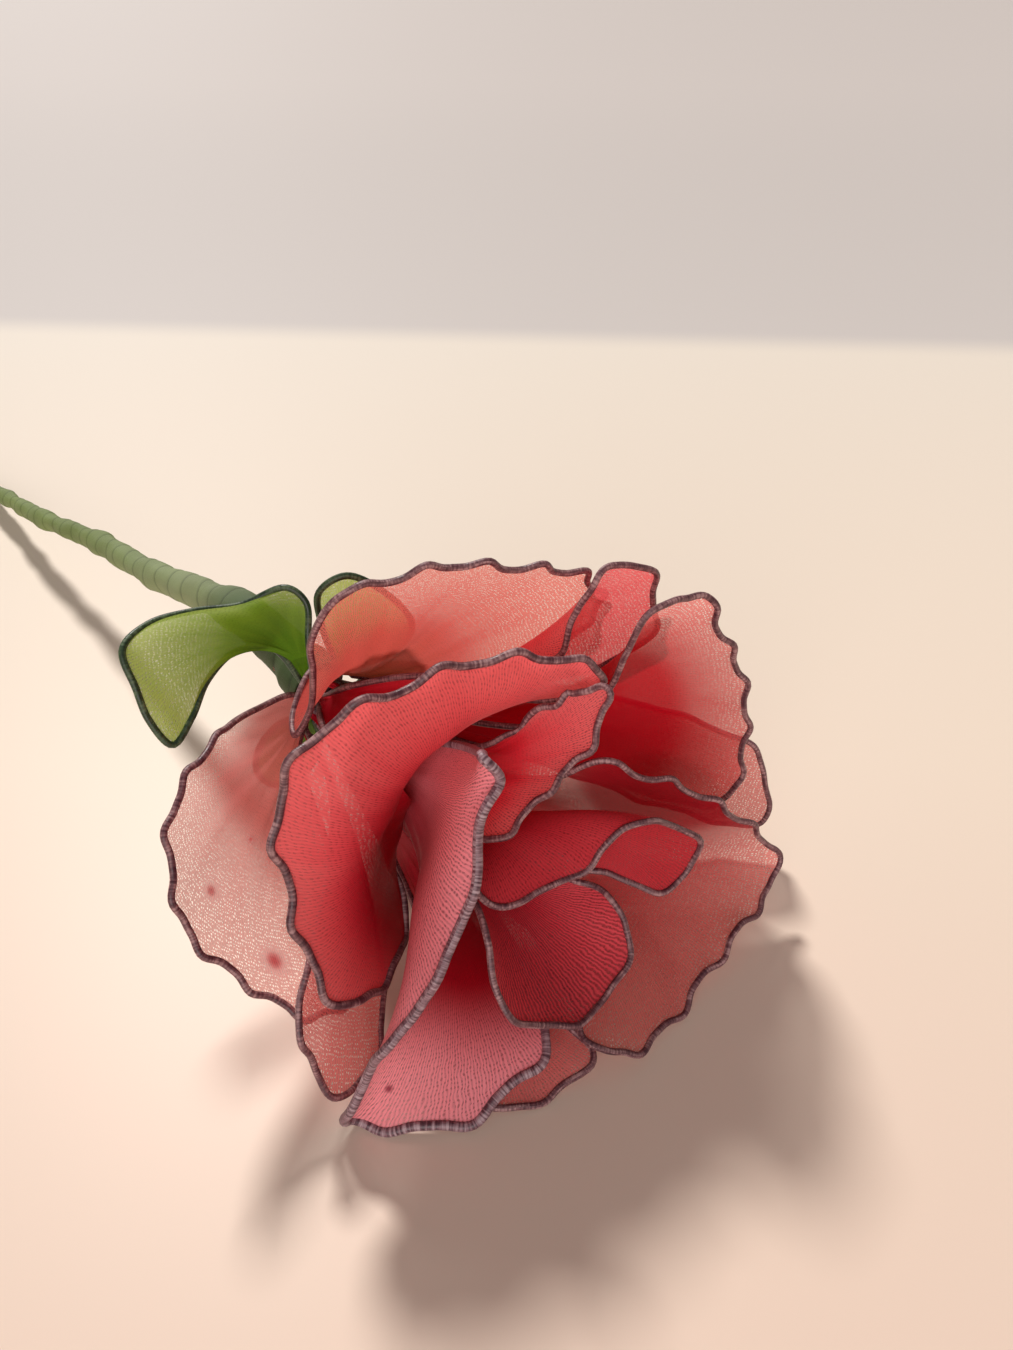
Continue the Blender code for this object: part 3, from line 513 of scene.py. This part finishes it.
def nylon(name, piece, line, finish, crease, wale_spacing=WALE_SPACING):
    """The nylon of one loop, as two grids in one mesh: the film, and the gathers down to the neck.

    The film is a soap film over a disc. The rim, closed by a straight base, is split into its
    harmonics, and harmonic k fades inwards as the reach to the power k. The belly pushes its middle,
    least towards the base, and the roll is a push half way out near one share of the loop.
    Creases fan out from the base, as cosines of the angle at which the base sees a place on the disc,
    and die out towards the rim. A wale's number follows that angle too, so that wales reach the rim
    evenly. The gathers are straight bars from leg to leg, folded by cosines, and go on as a narrow
    pleated band over the tail of the wire."""
    run = run_of(line)[-1]
    opens = opening(piece, line)
    held = at_run(line, np.linspace(opens, 1 - opens, FINE) * run)
    closed = np.vstack([held, held[:1]])
    length = run_of(closed)[-1]
    rim = at_run(closed, np.arange(FILM_SAMPLES) / FILM_SAMPLES * length)
    harmonics = np.fft.fft(rim, axis=0) / FILM_SAMPLES
    order = np.fft.fftfreq(FILM_SAMPLES, 1 / FILM_SAMPLES)
    base_turn = 1 - np.linalg.norm(held[-1] - held[0]) / length / 2
    turn = np.arange(FILM_AROUND + 1) / FILM_AROUND + base_turn
    share = np.linspace(0, 1, FILM_ACROSS)
    reach = ROWS_EVEN * share + ROWS_CROWDED * (1 - (1 - share) ** 2)
    spin = np.exp(2j * math.pi * np.outer(turn, order))
    fade = reach[:, None] ** np.abs(order)[None]
    surface = np.einsum("rk,tk,kx->rtx", fade, spin, harmonics).real
    disc = reach[:, None] * np.exp(2j * math.pi * (turn - base_turn))[None]
    belly = np.array(piece["belly"], float) * (1, -1, 1)
    surface += ((1 - reach**2)[:, None] * (1 - disc.real))[..., None] * belly
    at, wide, *push = piece.get("roll", (0.5, 1, 0, 0, 0))
    near = np.exp(-((opens + (turn - base_turn) % 1.0 * length / run - at) / wide) ** 2)
    surface += (4 * reach * (1 - reach))[:, None, None] * near[:, None] * (np.array(push) * (1, -1, 1))
    seen = 1 - disc
    angle = -np.angle(np.where(np.abs(seen) < 1e-6, 1e-6 + 0j, seen))
    out = np.clip(np.abs(seen) / np.maximum(2 * np.cos(angle), 0.05), 0, 1)
    from_middle = rim - rim.mean(axis=0)
    area_way = unit(np.cross(from_middle, np.roll(from_middle, -1, axis=0)).sum(axis=0))
    height, folds, shift = crease
    fan = sum(size * np.cos(folds * often * angle * 2 + shifts * shift + bends * out)
              for size, often, shifts, bends in FAN)
    lift = height * fan * (1 - reach**8)[:, None] * np.exp(-((out - CREASES_OUT) / CREASES_REACH) ** 2)
    surface += lift[..., None] * area_way
    wales = length / wale_spacing
    from_base = np.linalg.norm(surface - surface[-1, 0], axis=-1)
    number = (angle / math.pi + 0.5) * wales
    out = out * np.clip(from_base / (GATHERED_SHARE * from_base.max()), 0, 1)
    uv = np.stack([number, from_base / COURSE_SPACING], axis=-1)
    film = grid_mesh(name, surface, False, uv, finish, out)

    ring = RINGS[piece["ring"]]
    side = 2 * math.pi * piece["slot"] / ring["slots"]
    bars = np.linspace(opens, 0, GATHER_ROWS - BAND_ROWS)
    first, last = at_run(line, bars * run), at_run(line, (1 - bars) * run)
    spread = (last[-1] - first[-1]) / 2
    tail = beside_stem(np.linspace(BAND_FROM, BAND_TO, BAND_ROWS),
                       np.full(BAND_ROWS, ring["radius"] + BAND_CLEARANCE), np.full(BAND_ROWS, side))
    first = np.vstack([first, tail - spread])
    last = np.vstack([last, tail + spread])
    u = np.linspace(0, 1, GATHER_COLUMNS)[None, :, None]
    bar = first[:, None] * (1 - u) + last[:, None] * u
    middle = (first + last) / 2
    outwards = unit(middle - (middle @ head_axis)[:, None] * head_axis)
    wide = np.linalg.norm(last - first, axis=1)[:, None, None]
    pleat = np.cos(2 * math.pi * PLEATS * u) * PLEAT_HEIGHT + np.sin(math.pi * u) * GATHER_BULGE
    rows = np.arange(GATHER_ROWS)[:, None, None] / (GATHER_ROWS - 1)
    grown = np.minimum(rows * PLEATS_GROW, 1)
    bar = bar + outwards[:, None] * pleat * grown * np.minimum(wide, GATHER_WIDE)
    down = -run_of(middle) / COURSE_SPACING
    uv = np.stack(np.broadcast_arrays(u[..., 0] * wales, down[:, None]), axis=-1)
    gather = grid_mesh(name + "_gather", bar, False, uv, finish, np.zeros(bar.shape[:2]))
    bpy.ops.object.select_all(action="DESELECT")
    gather.select_set(True)
    film.select_set(True)
    bpy.context.view_layer.objects.active = film
    bpy.ops.object.join()
    return film


def group(name, takes, gives):
    """A new node group with sockets of the given kinds: (group, its inputs, its result node)."""
    tree = bpy.data.node_groups.new(name, "ShaderNodeTree")
    for way, sockets in (("INPUT", takes), ("OUTPUT", gives)):
        for label, kind in sockets.items():
            tree.interface.new_socket(label, in_out=way, socket_type="NodeSocket" + kind)
    return tree, tree.nodes.new("NodeGroupInput").outputs, tree.nodes.new("NodeGroupOutput")


# The knit: a stitch is a cosine across the wales times one along the courses, broken by noise. The
# cover is dense at the base, turns sheer towards the rim, and is pierced there between the stitches.
knit, given, result = group(
    "stocking knit",
    {"UV": "Vector", "Out": "Float", "Holes": "Float", "Dense": "Float", "Sheer": "Float",
     "Turns Sheer At": "Float"},
    {"Cover": "Float", "Yarn": "Float", "Cloud": "Float", "Rib": "Float"})
uv = given["UV"]
waver = node(knit, "TexNoise", {"noise_dimensions": "2D"}, Vector=uv, Scale=0.35, Detail=3.0)
moved = node(knit, "VectorMath", {"operation": "MULTIPLY_ADD"}, i0=waver.outputs["Color"],
             i1=(1.5, 1.5, 0.0), i2=uv).outputs[0]
split = node(knit, "SeparateXYZ", Vector=moved)


def wave(value):
    """A cosine of a count of stitches, from 0 to 1."""
    phase = node(knit, "Math", {"operation": "MULTIPLY"}, i0=value, i1=2 * math.pi).outputs[0]
    swing = node(knit, "Math", {"operation": "COSINE"}, i0=phase).outputs[0]
    return node(knit, "Math", {"operation": "MULTIPLY_ADD"}, i0=swing, i1=0.5, i2=0.5).outputs[0]


wale = wave(split.outputs["X"])
course = wave(split.outputs["Y"])
hole = node(knit, "Math", {"operation": "MULTIPLY"}, i0=wale, i1=course).outputs[0]
broken = node(knit, "TexNoise", {"noise_dimensions": "2D"}, Vector=uv, Scale=0.8,
              Detail=2.0).outputs["Fac"]
hole = node(knit, "Math", {"operation": "MULTIPLY"}, i0=hole,
            i1=between(knit, broken, 0.3, 0.62, 0.15, 1.25)).outputs[0]
hole = between(knit, hole, 0.28, 0.8)
stretched = node(knit, "Mapping", Vector=uv, Scale=(0.09, 0.035, 1.0)).outputs[0]
cloud = node(knit, "TexNoise", {"noise_dimensions": "2D"}, Vector=stretched, Scale=1.0,
             Detail=4.0).outputs["Fac"]
open_up = between(knit, given["Out"], 0.3, 1.0)
turned = node(knit, "Math", {"operation": "SUBTRACT"}, i0=given["Out"],
              i1=given["Turns Sheer At"]).outputs[0]
turned = node(knit, "Math", {"operation": "MULTIPLY_ADD"}, i0=cloud, i1=0.3, i2=turned).outputs[0]
level = node(knit, "Mix", {"data_type": "FLOAT"}, i0=between(knit, turned, -0.25, 0.55),
             i2=given["Dense"], i3=given["Sheer"]).outputs[0]
pierced = node(knit, "Math", {"operation": "MULTIPLY"}, i0=hole, i1=open_up).outputs[0]
pierced = node(knit, "Math", {"operation": "MULTIPLY"}, i0=pierced, i1=given["Holes"]).outputs[0]
cover = node(knit, "Math", {"operation": "SUBTRACT", "use_clamp": True}, i0=level, i1=pierced).outputs[0]
for label, value in (("Cover", cover), ("Yarn", hole), ("Cloud", cloud), ("Rib", wale)):
    knit.links.new(value, result.inputs[label])

# A spot: the share of plain colour is a smooth step of the distance from the spot's middle,
# and the closed stitches are that of the spot. Most spots are painted shade deep in the flower,
# and a few small ones are marks in the dye.
SPOT_CLOSED = 0.97
shade_and_dye_spot, given, result = group(
    "painted shade and dye spot",
    {"Where": "Vector", "At": "Vector", "Reaches": "Float", "Ends": "Float", "Dye": "Color",
     "Plain": "Color"},
    {"Colour": "Color", "Closed": "Float"})
away = node(shade_and_dye_spot, "VectorMath", {"operation": "DISTANCE"}, i0=given["Where"],
            i1=given["At"]).outputs["Value"]
plain = between(shade_and_dye_spot, away, given["Reaches"], given["Ends"])
mixed = node(shade_and_dye_spot, "Mix", {"data_type": "RGBA"}, i0=plain, i6=given["Dye"], i7=given["Plain"]).outputs[2]
closed = node(shade_and_dye_spot, "Math", {"operation": "SUBTRACT"}, i0=SPOT_CLOSED, i1=plain).outputs[0]
shade_and_dye_spot.links.new(mixed, result.inputs["Colour"])
shade_and_dye_spot.links.new(closed, result.inputs["Closed"])


def nylon_finish(name, deep, middle, pale, dense, sheer, turns_sheer_at, ribs, glow, holes, *spots):
    """Knitted nylon of one colour: deep where it is gathered, pale at the rim, open between stitches.

    In the darker finishes the deep colour is also painted shade down in the flower's heart. Each spot
    is a place with its stitches closed, in another colour: its colour, its middle, and how far it
    reaches and ends in millimetres. Most spots are painted shade, deep in the flower and under the
    petals in front, and the smallest are marks in the dye. The glow is the share of the light that
    passes through the threads, which a Translucent shader stands for, and the cover is how much of
    the sheet is thread."""
    finish, tree, shader = fresh(name)
    uv = node(tree, "UVMap", {"uv_map": "knit"}).outputs[0]
    out = node(tree, "Attribute", {"attribute_name": "reach"}).outputs["Fac"]
    cloth = node(tree, "Group", {"node_tree": knit}, UV=uv, Out=out, Holes=holes, Dense=dense,
                 Sheer=sheer, Turns_Sheer_At=turns_sheer_at)
    along = node(tree, "Math", {"operation": "SUBTRACT"}, i0=out, i1=0.17).outputs[0]
    along = node(tree, "Math", {"operation": "MULTIPLY_ADD"}, i0=cloth.outputs["Cloud"], i1=0.35,
                 i2=along).outputs[0]
    # The deep colour is partly the denser gathered nylon and partly painted shade of the heart.
    colour = ramp(tree, along, [(0.05, deep), (0.45, middle), (0.95, pale)])
    cover = cloth.outputs["Cover"]
    for spot_colour, middle_at, reaches, ends in spots:
        spot = node(tree, "Group", {"node_tree": shade_and_dye_spot}, Where=node(tree, "TexCoord").outputs["Object"],
                    At=tuple((NECK + np.array(middle_at) * (1.0, -1.0, 1.0)) * MM),
                    Reaches=reaches * MM, Ends=ends * MM, Dye=(*spot_colour, 1), Plain=colour)
        colour = spot.outputs["Colour"]
        cover = node(tree, "Math", {"operation": "MAXIMUM"}, i0=cover,
                     i1=spot.outputs["Closed"]).outputs[0]
    stitch = between(tree, cloth.outputs["Yarn"], 0.0, 1.0, 1.05, 0.88)
    rib = node(tree, "MapRange", Value=cloth.outputs["Rib"], To_Min=1.0 + ribs / 3, To_Max=1.0 - ribs)
    stitch = node(tree, "Math", {"operation": "MULTIPLY"}, i0=stitch, i1=rib.outputs[0]).outputs[0]
    colour = node(tree, "VectorMath", {"operation": "SCALE"}, i0=colour, Scale=stitch).outputs[0]
    tree.links.new(colour, shader.inputs["Base Color"])
    shader.inputs["Roughness"].default_value = 0.5
    shader.inputs["Specular IOR Level"].default_value = 0.08
    shader.inputs["Sheen Weight"].default_value = 0.07
    shader.inputs["Sheen Roughness"].default_value = 0.4
    shader.inputs["Sheen Tint"].default_value = (1.0, 0.45, 0.45, 1)
    bump = node(tree, "Bump", Height=cloth.outputs["Yarn"], Strength=0.25, Distance=0.0002)
    tree.links.new(bump.outputs[0], shader.inputs["Normal"])
    through_it = node(tree, "BsdfTranslucent", Color=colour)
    lit = node(tree, "MixShader", i0=glow, i1=shader.outputs[0], i2=through_it.outputs[0])
    clear = node(tree, "BsdfTransparent", Color=(1.0, 1.0, 1.0, 1.0))
    both = node(tree, "MixShader", i0=cover, i1=clear.outputs[0], i2=lit.outputs[0])
    tree.links.new(both.outputs[0], tree.nodes["Material Output"].inputs["Surface"])
    return finish


# Painted shade: the near-black crimson of the flower's heart, laid as a spot on petals 4 and 8.
HEART_PAINTED_SHADE = ((0.32, 0.0006, 0.006), (-7, 34, -7), 5, 16)
# The coral's first spot is painted shade as well, deeper down in petal 4.
coral = nylon_finish("coral nylon", (0.44, 0.004, 0.016), (0.76, 0.034, 0.058), (0.91, 0.155, 0.160),
                     0.998, 0.97, 0.85, 0.12, 0.30, 0.14, ((0.62, 0.012, 0.034), (-10, 36, -8), 5, 20),
                     HEART_PAINTED_SHADE)
bright_coral = nylon_finish("bright coral nylon", (0.56, 0.005, 0.018), (0.94, 0.042, 0.066),
                            (0.98, 0.190, 0.195), 0.995, 0.95, 0.85, 0.14, 0.30, 0.35)
# Painted shade: the spot darkens the lower inside of petal 5, deep in the flower.
open_coral = nylon_finish("coral nylon open at the rim", (0.50, 0.008, 0.020), (0.76, 0.055, 0.062),
                          (0.90, 0.240, 0.215), 0.995, 0.80, 0.80, 0.12, 0.42, 1.0,
                          ((0.52, 0.005, 0.014), (20, 36, -3), 14, 32))
sheer_coral = nylon_finish("sheer coral nylon", (0.74, 0.120, 0.090), (0.80, 0.125, 0.105),
                           (0.86, 0.22, 0.17), 0.985, 0.84, 0.62, 0.12, 0.48, 0.75)
dark_rosy = nylon_finish("dark rosy nylon", (0.30, 0.001, 0.010), (0.54, 0.014, 0.030),
                         (0.64, 0.045, 0.060), 0.995, 0.96, 0.90, 0.18, 0.35, 0.35, HEART_PAINTED_SHADE)
ribbed_rosy = nylon_finish("ribbed rosy nylon", (0.38, 0.002, 0.014), (0.68, 0.030, 0.056),
                           (0.78, 0.085, 0.110), 0.995, 0.96, 0.90, 0.42, 0.35, 0.35)
# Painted shade: the first spot darkens petal 10 near its base; the second, tiny one is a mark in the dye.
rosy = nylon_finish("rosy nylon", (0.54, 0.010, 0.030), (0.98, 0.235, 0.270), (0.98, 0.32, 0.36),
                    0.995, 0.95, 0.90, 0.24, 0.22, 0.35, ((0.40, 0.004, 0.014), (-4, 42, -12), 8, 20),
                    ((0.32, 0.040, 0.070), (-22.1, 48.4, -23.0), 0.1, 0.8))
pale_rose = nylon_finish("pale sheer nylon", (0.80, 0.230, 0.210), (0.82, 0.215, 0.205),
                         (0.88, 0.34, 0.31), 0.97, 0.72, 0.45, 0.14, 0.50, 0.75,
                         ((0.78, 0.150, 0.175), (-25.6, 31.7, -13.1), 0.2, 3.6),
                         ((0.74, 0.140, 0.145), (-21.1, 20.3, -4.8), 0.1, 1.0),
                         ((0.79, 0.175, 0.190), (-28.5, 24.9, -4.7), 0.1, 2.4))
open_rose = nylon_finish("rose nylon open at the rim", (0.50, 0.020, 0.040), (0.78, 0.120, 0.125),
                         (0.86, 0.23, 0.22), 0.985, 0.84, 0.60, 0.14, 0.45, 0.70)
# Painted shade: the open rose nylon made darker for petal 7, which lies in the shade of petal 5, with a
# spot of deeper painted shade where it tucks under it.
shaded_open_rose = nylon_finish("open rose nylon in painted shade", (0.42, 0.010, 0.024), (0.66, 0.085, 0.090),
                         (0.84, 0.22, 0.20), 0.985, 0.84, 0.60, 0.14, 0.45, 0.70,
                         ((0.46, 0.014, 0.026), (22, 51, -3), 10, 25))
shaded_rose = nylon_finish("shaded rose nylon", (0.50, 0.050, 0.060), (0.60, 0.120, 0.115),
                           (0.68, 0.19, 0.17), 0.99, 0.88, 0.70, 0.14, 0.20, 0.50)
# Each petal's finish, its creases as (height, folds, shift), and its wales' spacing if they are coarse.
NYLON = {
    "petal_01": (pale_rose, (0.30, 4.0, 0.4)), "petal_02": (sheer_coral, (0.30, 4.0, 1.3)),
    "petal_03": (bright_coral, (0.25, 3.0, 2.2)), "petal_04": (coral, (0.25, 4.0, 0.9)),
    "petal_05": (open_coral, (0.30, 3.5, 2.7)), "petal_06": (bright_coral, (0.15, 3.0, 0.3)),
    "petal_07": (shaded_open_rose, (0.35, 4.5, 1.9)), "petal_08": (dark_rosy, (0.25, 3.0, 1.1)),
    "petal_09": (ribbed_rosy, (0.15, 3.0, 0.2), 0.66), "petal_10": (rosy, (0.25, 4.0, 2.4), 0.56),
    "petal_11": (open_rose, (0.25, 3.0, 1.6)), "petal_12": (open_rose, (0.20, 3.0, 0.8)),
    "petal_13": (shaded_rose, (0.25, 3.0, 1.2)),
}
for name, piece in PETALS.items():
    sheet = nylon(name + "_nylon", piece, loops[name], *NYLON[name])
    sheet.name = name + "_knit"
    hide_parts(name + "_nylon")

# The sepals: four small leaves under the petals, made the same way of green nylon over plain loops
# of dark green wire, bent back over the neck. The nylon is darkest at the neck and pale at the tips.
SEPALS = {
    "sepal_1": {
        "ring": "sepal", "slot": 5, "wave": (0, 0, 0, 1), "belly": (0, 0, 2),
        "rim": [(-2, 6, 9), (-0.5, 4, 13.5), (-2, 2, 15.5), (-7, -2, 13), (-13, -4, 13.5),
                (-19, -4, 14), (-23.5, -2, 13), (-24, 1, 9), (-24, 3, 5), (-22.5, 5, 1.5),
                (-19, 4, 3.5), (-15, 1.8, 6.5), (-10, 0.8, 8.3), (-5.5, 2.2, 7.5)]},
    "sepal_2": {
        "ring": "sepal", "slot": 2, "wave": (0, 0, 0, 1), "belly": (0, 0, 0),
        "rim": [(0, 6.5, 11), (-0.5, 8, 17), (2.5, 10, 19), (7, 12, 15.5), (11.5, 11, 8),
                (10, 8, 3)]},
    "sepal_3": {
        "ring": "sepal", "slot": 9, "wave": (0, 0, 0, 1), "belly": (0, 0, 0),
        "rim": [(-7, 4.5, -3), (-10, 3, -6.5), (-11, 2.5, -11), (-8.5, 2.5, -15), (-4, 3, -15),
                (-1.5, 4.5, -9.5)]},
    "sepal_4": {
        "ring": "sepal", "slot": 12, "wave": (0, 0, 0, 1), "belly": (0, 0, 0),
        "rim": [(9, 5, -1), (15, 6, -2.5), (20.5, 7, -7.5), (21, 7.5, -14), (15.5, 7, -17),
                (8.5, 6, -15), (4.5, 5.5, -10)]},
}
SEPAL_WRAPPED_RADIUS = 0.46
SEPAL_CREASES = (0.15, 3.0, 0.7)
# Painted highlight: the light tick colour of the sepal wire.
sepal_wire_finish = wrapped_wire_finish("wrapped sepal wire", (0.012, 0.030, 0.014),
                                        (0.030, 0.065, 0.022), (0.11, 0.16, 0.08), 0.35)
sepal_finish = nylon_finish("green nylon", (0.085, 0.180, 0.008), (0.190, 0.330, 0.022),
                            (0.400, 0.520, 0.100), 0.985, 0.90, 0.75, 0.12, 0.45, 0.35)
for name, piece in SEPALS.items():
    line = rim_loop(piece)
    tube = wire_tube(name + "_loop", piece, line, SEPAL_WRAPPED_RADIUS, sepal_wire_finish)
    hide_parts(name + "_wire")
    sheet = nylon(name + "_nylon", piece, line, sepal_finish, SEPAL_CREASES)
    sheet.name = name + "_knit"
    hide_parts(name + "_nylon")

# The table: a smooth warm white top, seen out to its far edge, with a grey wall beyond it. The edge
# and the wall are only a change of colour in one flat floor.
FLOOR_SIZE = 16.0
CAMERA_FROM_NECK = np.array([-56.2, -107.7, 82.0])
LOOKS_ALONG = np.array([0.5412, 0.6150, -0.5736])
FAR_EDGE = 0.373
EDGE_TURN = math.radians(-4.55)
table_finish, tree, shader = fresh("warm white table")
where = node(tree, "TexCoord").outputs["Object"]
viewpoint = (NECK + CAMERA_FROM_NECK) * MM


def distance_past(way, start):
    """How far a place lies past the viewpoint and a start along a flat way, by their dot products."""
    along = node(tree, "VectorMath", {"operation": "DOT_PRODUCT"}, i0=where, i1=tuple(way))
    return node(tree, "Math", {"operation": "SUBTRACT"}, i0=along.outputs["Value"],
                i1=float(viewpoint @ way) + start).outputs[0]


flat_way = unit(LOOKS_ALONG * (1, 1, 0))
past = distance_past(flat_way, 0.0)
turned = math.atan2(flat_way[1], flat_way[0]) + EDGE_TURN
beyond = distance_past(np.array([math.cos(turned), math.sin(turned), 0.0]), FAR_EDGE)
# Painted shade: the top is darker and warmer towards the camera, where the flower's pink shadow lies, and
# lightens towards the far edge. The wall is a little lighter away from the edge.
near = ramp(tree, node(tree, "MapRange", Value=past, From_Min=0.02, From_Max=0.39).outputs[0],
            [(0.0, (0.84, 0.650, 0.535)), (0.30, (0.91, 0.770, 0.640)), (1.0, (0.93, 0.850, 0.745))])
wall = node(tree, "Mix", {"data_type": "RGBA"}, i0=between(tree, beyond, 0.0, 1.2),
            i6=(0.70, 0.650, 0.620, 1.0), i7=(0.76, 0.70, 0.665, 1.0)).outputs[2]
whole = node(tree, "Mix", {"data_type": "RGBA"}, i0=between(tree, beyond, -0.012, 0.016),
             i6=near, i7=wall).outputs[2]
tree.links.new(whole, shader.inputs["Base Color"])
shader.inputs["Roughness"].default_value = 0.42
shader.inputs["Specular IOR Level"].default_value = 0.25
mesh = bpy.data.meshes.new("table_top")
half = FLOOR_SIZE / 2
mesh.from_pydata([(-half, -half, 0), (half, -half, 0), (half, half, 0), (-half, half, 0)], [],
                 [(0, 1, 2, 3)])
mesh.materials.append(table_finish)
table = bpy.data.objects.new("table_top", mesh)
bpy.context.scene.collection.objects.link(table)

# The light: a soft lamp behind the stem, a much wider and weaker one low in front of the flower, and
# pale light from all round. The shadow falls towards the camera. Each lamp has its strength, its
# width in degrees, its colour and the way that its light goes.
for name, energy, width, colour, way in (("back_lamp", 2.8, 9, (1.0, 0.97, 0.93), (-0.29, -0.82, -1.0)),
                                         ("front_lamp", 1.9, 55, (1.0, 0.94, 0.92), (0.68, 0.64, -0.30))):
    sun = bpy.data.lights.new(name, "SUN")
    sun.energy = energy
    sun.angle = math.radians(width)
    sun.color = colour
    lamp = bpy.data.objects.new(name, sun)
    falls = -unit(np.array(way))
    lamp.rotation_euler = (math.acos(falls[2]), 0, math.atan2(falls[0], -falls[1]))
    bpy.context.scene.collection.objects.link(lamp)
world = bpy.data.worlds.new("pale room")
world.use_nodes = True
world.node_tree.nodes["Background"].inputs["Color"].default_value = (1.0, 0.86, 0.83, 1)
world.node_tree.nodes["Background"].inputs["Strength"].default_value = 0.15
bpy.context.scene.world = world

# The camera: a phone's wide lens, held close to the flower and looking down on it from the left.
FOCAL_PIXELS = 1000
PHOTO_HEIGHT_PIXELS = 1350
eye = bpy.data.cameras.new("phone")
eye.sensor_fit = "VERTICAL"
eye.sensor_height = 36.0
eye.lens = eye.sensor_height * FOCAL_PIXELS / PHOTO_HEIGHT_PIXELS
eye.clip_start = 0.005
camera = bpy.data.objects.new("phone", eye)
camera.location = viewpoint
azimuth = math.atan2(LOOKS_ALONG[0], LOOKS_ALONG[1])
camera.rotation_euler = (math.pi / 2 + math.asin(LOOKS_ALONG[2]), 0, -azimuth)
bpy.context.scene.collection.objects.link(camera)
bpy.context.scene.camera = camera
bpy.context.scene.view_settings.view_transform = "Standard"

bpy.context.view_layer.update()
